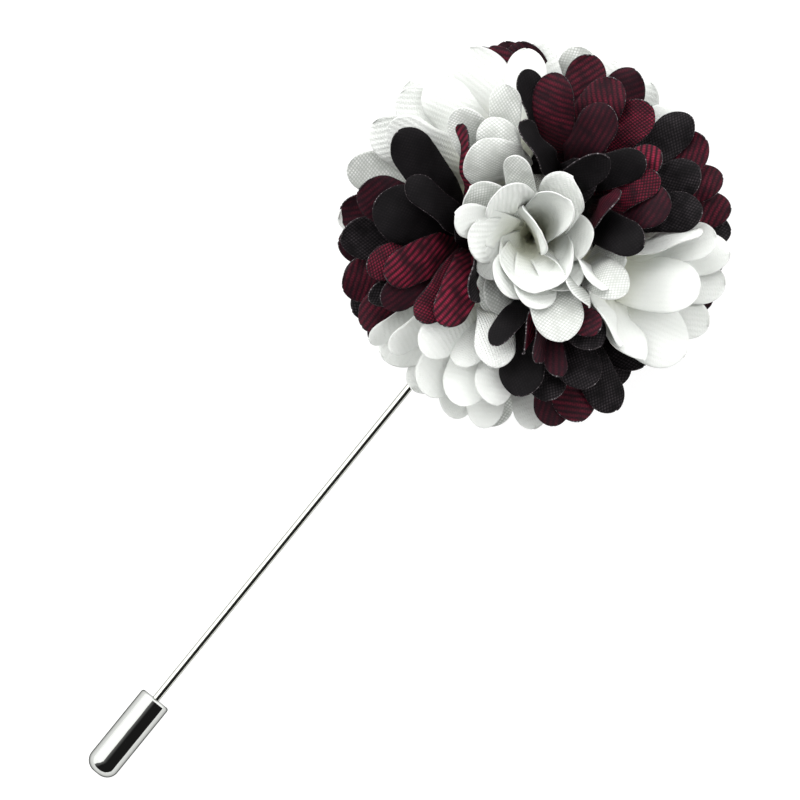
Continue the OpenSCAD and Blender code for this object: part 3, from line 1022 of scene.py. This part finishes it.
# The middle floret.
# White ribbon, folded round a deep funnel: wide concave petals stand round the hole, and flatter ones
# lean out under them.
PAD_TOP = 2.75 * MM
TAIL_LEAN = 0.75
CENTRE_ROOT_Z = 8.36 * MM
CENTRE_GROWS = (268, 6)
CENTRE_SEED = 11
CENTRE_PETALS = [
    # bearing, polar, reach, width, turn, cup, ribs, look
    (275, 17.5, 0.97, 10.4, -12, -0.65, 90, "dull"),
    (46, 14, 0.98, 6.2, -8, -0.60, 100, "dull"),
    (43, 2, 0.97, 5.6, 0, -0.12, 60, "dull"),
    (130, 16, 1.00, 5.8, 0, -0.30, 110, "bright"),
    (186, 21, 0.92, 5.0, 0, -0.15, 5, "bright"),
    (356, 21, 0.82, 5.0, 0, -0.15, 80, "dull"),
    (167, 24, 0.99, 4.0, 0, -0.12, 20, "dull"),
    (104, 24, 0.98, 3.0, 0, -0.10, 100, "over"),
    (54, 20, 0.97, 5.4, 0, -0.20, 97, "bright"),
    (240, 20, 0.96, 5.0, 0, -0.15, 150, "dull"),
    (269, 22.5, 0.97, 4.8, 0, -0.12, 20, "dull"),
    (303, 23, 0.86, 4.8, 0, -0.12, 60, "dull"),
    (286, 31, 0.99, 5.6, 0, -0.10, 10, "over"),
    (307, 28, 0.97, 3.2, 60, 0.02, 90, "over"),
    (146, 24, 0.96, 5.4, 0, -0.10, 60, "over"),
    (212, 26, 0.76, 4.2, 0, -0.10, 60, "dull"),
]
make_floret(
    "centre_floret", Vector((0, 0, CENTRE_ROOT_Z)), CENTRE_GROWS, Vector((0, 0, PAD_TOP)), CENTRE_PETALS,
    WHITE_RIBBON, CENTRE_SEED,
)

# The front ring of florets.
# Seven florets round the middle one, white and burgundy by turns except where two burgundy ones meet.
# Each is glued to the pad by its tail.
FRONT_ROOT_R = 4.8 * MM
FRONT_ROOT_Z = 7.12 * MM
FRONT_SEED = 20
FRONT = [
    # the bearing and the angle that the floret grows in, its ribbon, and its petals
    (117, 42, WHITE_RIBBON, [
        (123, 33, 0.98, 6.6, 0, 0.12, 0, "over"),
        (111, 36, 0.98, 4.4, 0, 0.10, 0, "over"),
        (101, 51, 0.98, 3.4, 0, 0.10, 90, "over"),
        (122, 48, 0.98, 4.4, 0, 0.10, 20, "over"),
        (92, 71, 0.98, 4.8, 10, 0.15, 60, "dull"),
        (109, 82, 1.00, 6.8, 0, 0.15, 145, "dull"),
        (124, 70, 0.98, 5.4, 0, 0.10, 150, "dull"),
        (133, 76, 1.00, 5.4, 0, 0.10, 170, "dull"),
        (143, 66, 0.99, 5.0, 10, 0.10, 150, "ribbed"),
    ]),
    (62, 40, BURGUNDY_RIBBON, [
        (93, 56, 0.99, 3.4, 122, 0.10, 60, "dull"),
        (96, 35, 0.98, 3.0, 118, 0.10, 60, "dull"),
        (34, 43, 0.98, 3.8, 164, -0.15, 30, "dull"),
        (46, 33, 0.97, 3.4, 150, 0.10, 60, "dull"),
        (60, 49, 0.98, 4.4, 0, 0.10, 60, "dull"),
        (83, 54, 1.00, 4.6, 0, 0.15, 155, "ribbed"),
        (72, 70, 1.00, 4.6, 0, 0.15, 35, "ribbed"),
        (62, 61, 1.00, 5.0, 0, 0.15, 105, "ribbed"),
        (48, 60, 1.00, 4.4, 0, 0.10, 0, "dotted"),
        (32, 50, 0.98, 3.6, 0, 0.10, 95, "bright"),
        (58, 75, 1.00, 4.6, 0, 0.10, 20, "dull"),
    ]),
    (16, 46, BURGUNDY_RIBBON, [
        (354, 34, 0.98, 4.0, 174, -0.10, 10, "dull"),
        (25, 42, 0.97, 3.2, 0, 0.10, 45, "dotted"),
        (26, 30, 0.96, 3.2, 50, 0.05, 60, "ribbed"),
        (14, 45, 0.99, 5.2, 0, 0.15, 60, "dull"),
        (21, 64, 0.99, 4.4, 0, 0.15, 20, "over"),
        (29, 80, 1.00, 4.8, 0, 0.15, 60, "ribbed"),
        (37, 80, 1.00, 4.2, 0, 0.15, 60, "over"),
        (17, 79, 1.00, 4.2, 0, 0.15, 75, "ribbed"),
        (8, 86, 1.00, 4.0, 0, 0.10, 60, "ribbed"),
        (1, 84, 0.99, 4.0, 0, 0.15, 20, "over"),
        (8, 60, 0.98, 4.4, 0, 0.15, 20, "over"),
    ]),
    (332, 44, WHITE_RIBBON, [
        (327, 35, 0.95, 4.2, 0, 0.10, 45, "over"),
        (321, 31, 0.95, 3.6, 65, 0.05, 60, "dull"),
        (341, 61, 1.00, 6.2, 0, 0.20, 165, "dull"),
        (311, 58, 0.98, 5.0, 40, 0.10, 120, "dull"),
        (308, 50, 0.97, 4.4, 62, 0.05, 60, "dull"),
        (5, 58, 0.99, 3.6, 50, 0.10, 10, "dull"),
        (359, 67, 0.99, 4.4, 10, 0.10, 0, "dull"),
        (355, 84, 1.00, 4.6, 0, 0.10, 0, "dull"),
        (320, 75, 1.00, 7.2, 0, 0.15, 165, "dull"),
        (345, 80, 1.00, 4.8, 0, 0.15, 175, "ribbed"),
        (332, 78, 1.00, 4.6, 0, 0.10, 170, "ribbed"),
    ]),
    (283, 42, BURGUNDY_RIBBON, [
        (249, 37, 0.98, 2.6, 150, 0.05, 60, "dull"),
        (264, 55, 0.99, 5.0, 150, -0.10, 80, "dull"),
        (265, 39, 0.95, 2.6, 58, 0.02, 90, "bright"),
        (272, 42, 0.96, 3.0, 40, 0.05, 80, "dull"),
        (280, 45, 0.97, 2.4, 0, 0.10, 90, "dull"),
        (303, 37, 0.97, 3.4, 0, 0.10, 20, "ribbed"),
        (300, 42, 0.97, 4.2, 0, 0.10, 30, "over"),
        (276, 74, 1.00, 4.0, 0, 0.15, 80, "dull"),
        (284, 74, 1.00, 5.0, 0, 0.15, 170, "ribbed"),
        (295, 76, 1.00, 4.4, 0, 0.15, 60, "over"),
        (290, 56, 0.98, 5.0, 0, 0.15, 60, "over"),
        (275, 58, 0.98, 4.6, 0, 0.10, 60, "over"),
    ]),
    (236, 46, WHITE_RIBBON, [
        (253, 45, 0.98, 4.4, 0, 0.12, 60, "dotted"),
        (227, 55, 0.99, 5.0, 15, 0.15, 140, "ribbed"),
        (219, 67, 1.00, 3.8, 28, 0.15, 130, "ribbed"),
        (213, 77, 1.00, 3.6, 35, 0.15, 120, "dull"),
        (240, 57, 0.90, 4.0, -20, 0.15, 60, "dull"),
        (236, 74, 1.00, 5.6, 18, 0.25, 130, "dull"),
        (246, 70, 0.99, 5.4, -20, 0.30, 160, "dull"),
        (257, 63, 0.98, 4.6, 20, 0.25, 170, "ribbed"),
        (255, 86, 1.00, 4.6, -25, 0.20, 0, "dull"),
        (246, 82, 1.00, 5.0, 20, 0.20, 20, "dull"),
    ]),
    (184, 42, BURGUNDY_RIBBON, [
        (143, 58, 1.00, 4.7, 168, -0.15, 40, "dull"),
        (170, 54, 1.00, 6.4, 168, -0.20, 20, "dull"),
        (225, 41, 0.98, 4.2, 0, 0.20, 30, "bright"),
        (196, 51, 0.99, 4.4, 0, 0.20, 37, "bright"),
        (157, 45, 0.97, 3.2, 150, -0.05, 35, "dull"),
        (217, 47, 0.98, 3.4, 0, 0.10, 0, "dotted"),
        (166, 64, 1.00, 5.2, 0, 0.15, 42, "dull"),
        (192, 58, 1.00, 3.8, 0, 0.15, 60, "dotted"),
        (205, 58, 0.98, 3.8, 0, 0.10, 30, "dull"),
        (202, 63, 0.99, 2.8, 0, 0.10, 30, "over"),
        (181, 74, 1.00, 4.6, 0, 0.10, 0, "over"),
        (208, 76, 1.00, 4.6, 0, 0.15, 40, "ribbed"),
        (196, 78, 1.00, 5.0, 0, 0.15, 70, "ribbed"),
        (228, 26, 0.93, 3.6, 62, 0.05, 60, "over"),
        (124, 42, 0.98, 2.6, 50, 0.05, 60, "bright"),
    ]),
]


def ring_root(bearing, radius, height):
    way = along(bearing, 90)
    return Vector((way.x * radius, way.y * radius, height))


for number, (bearing, polar, ribbon, rows) in enumerate(FRONT, start=1):
    make_floret(
        f"front_floret_{number}", ring_root(bearing, FRONT_ROOT_R, FRONT_ROOT_Z), (bearing, polar),
        ring_root(bearing, FRONT_ROOT_R * TAIL_LEAN, PAD_TOP), rows, ribbon, FRONT_SEED + number,
    )

# The back ring of florets.
# One floret behind each gap of the front ring, rooted on the pad itself. From the front only the
# tips of its petals show, past the flower's outline.
BACK_ROOT_R = 6.7 * MM
BACK_ROOT_Z = 4.4 * MM
BACK_POLAR = 84
BACK_SEED = 40
BACK_RING = [
    # the root's bearing, the petals' bearing, how far they spread, their reach, the ribbon, and the look of
    # them all, where they don't keep their own
    (88, 101, 0.35, 0.98, BURGUNDY_RIBBON, None),
    (40, 60, 0.95, 0.97, WHITE_RIBBON, None),
    (350, 0, 1.00, 0.97, BURGUNDY_RIBBON, None),
    (308, 306, 0.70, 0.87, BURGUNDY_RIBBON, "over"),
    (260, 239, 1.00, 0.98, WHITE_RIBBON, None),
    (208, 188, 0.80, 0.98, BURGUNDY_RIBBON, None),
    (150, 138, 1.20, 0.99, WHITE_RIBBON, None),
]
BACK_PETALS = [
    # petals, with the bearing and the ribs counted from the floret's petals' bearing
    (-21, 86, 0.99, 4.8, 0, 0.15, 20, "dull"),
    (-8, 94, 1.00, 4.6, 0, 0.15, 100, "dull"),
    (6, 86, 0.99, 4.8, 0, 0.15, 60, "ribbed"),
    (18, 92, 1.00, 4.6, 0, 0.15, 130, "over"),
    (31, 88, 0.99, 3.8, 0, 0.15, 130, "dull"),
    (-16, 107, 0.96, 4.8, 0, 0.15, 70, "ribbed"),
    (3, 108, 0.97, 5.0, 0, 0.15, 0, "dull"),
    (19, 109, 0.96, 4.6, 0, 0.15, 40, "ribbed"),
]
for number, (bearing, middle, spread, reach, ribbon, look) in enumerate(BACK_RING, start=1):
    rows = []
    for row in BACK_PETALS:
        petal = Petal(*row)
        rows.append(petal._replace(
            bearing=middle + petal.bearing * spread, reach=petal.reach * reach,
            ribs=middle + petal.ribs, look=look or petal.look,
        ))
    make_floret(
        f"back_floret_{number}", ring_root(bearing, BACK_ROOT_R, BACK_ROOT_Z), (bearing, BACK_POLAR),
        ring_root(bearing, BACK_ROOT_R, PAD_TOP), rows, ribbon, BACK_SEED + number,
    )
